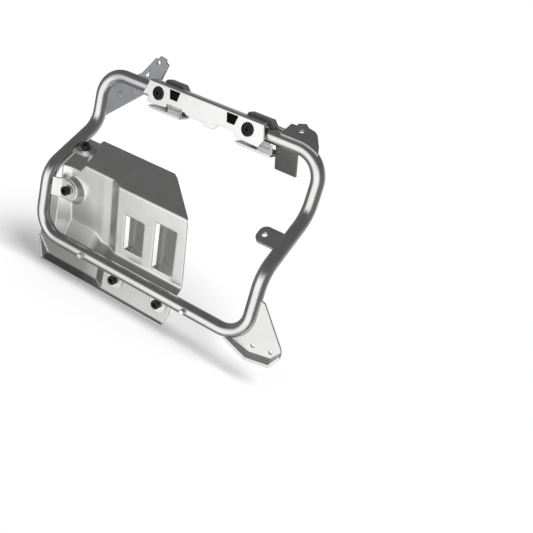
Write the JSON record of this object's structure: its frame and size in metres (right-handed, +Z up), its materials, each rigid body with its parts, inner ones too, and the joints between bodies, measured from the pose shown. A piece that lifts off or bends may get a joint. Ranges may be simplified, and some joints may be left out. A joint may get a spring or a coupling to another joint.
{
  "type": "pannier frame",
  "caption": "Right-hand motorbike pannier frame: a bent tube loop with a latch rail, mounting brackets and a pressed heat shield behind its lower rear part.",
  "frame": {"origin": "midway between the two locating pins, at the height of the lower bar's axis, on the plane that touches the outer side of the lower bar", "axes": "+X forward along the bars, +Y inboard towards the motorcycle, +Z up"},
  "size_m": [0.424, 0.1291, 0.3168],
  "materials": {
    "tube_steel": "polished",
    "sheet_steel": "fine brushed",
    "rail_steel": "satin",
    "shield_steel": "satin",
    "bright_steel": "polished",
    "black_bolt": "black oxide",
    "black_plastic": "matte",
    "grey_plastic": "matte"
  },
  "bodies": {
    "root": {"bolt_jog": "black_bolt", "bolt_low_front": "black_bolt", "bolt_low_rear": "black_bolt", "bolt_side": "black_bolt", "carrier_bolt_front": "black_bolt", "carrier_bolt_rear": "black_bolt", "carrier_boss_front": "bright_steel", "carrier_boss_rear": "bright_steel", "clip_front": "grey_plastic", "clip_rear": "grey_plastic", "corner_gusset": "sheet_steel", "foot_gusset": "sheet_steel", "front_bracket": "sheet_steel", "heat_shield": "shield_steel", "latch_rail": "rail_steel", "mid_tab": "sheet_steel", "nut_jog": "bright_steel", "nut_low_front": "bright_steel", "nut_low_rear": "bright_steel", "nut_side": "bright_steel", "pin_front": "bright_steel", "pin_rear": "bright_steel", "puck_front": "black_plastic", "puck_rear": "black_plastic", "saddle_front": "sheet_steel", "saddle_rear": "sheet_steel", "stop_block_front": "black_plastic", "stop_block_rear": "black_plastic", "tab_jog": "sheet_steel", "tab_low_front": "sheet_steel", "tab_low_rear": "sheet_steel", "tab_side": "sheet_steel", "tube_loop": "tube_steel", "washer_jog": "bright_steel", "washer_low_front": "bright_steel", "washer_low_rear": "bright_steel", "washer_side": "bright_steel", "window_insert_front": "black_plastic", "window_insert_rear": "black_plastic"}
  },
  "joints": []
}
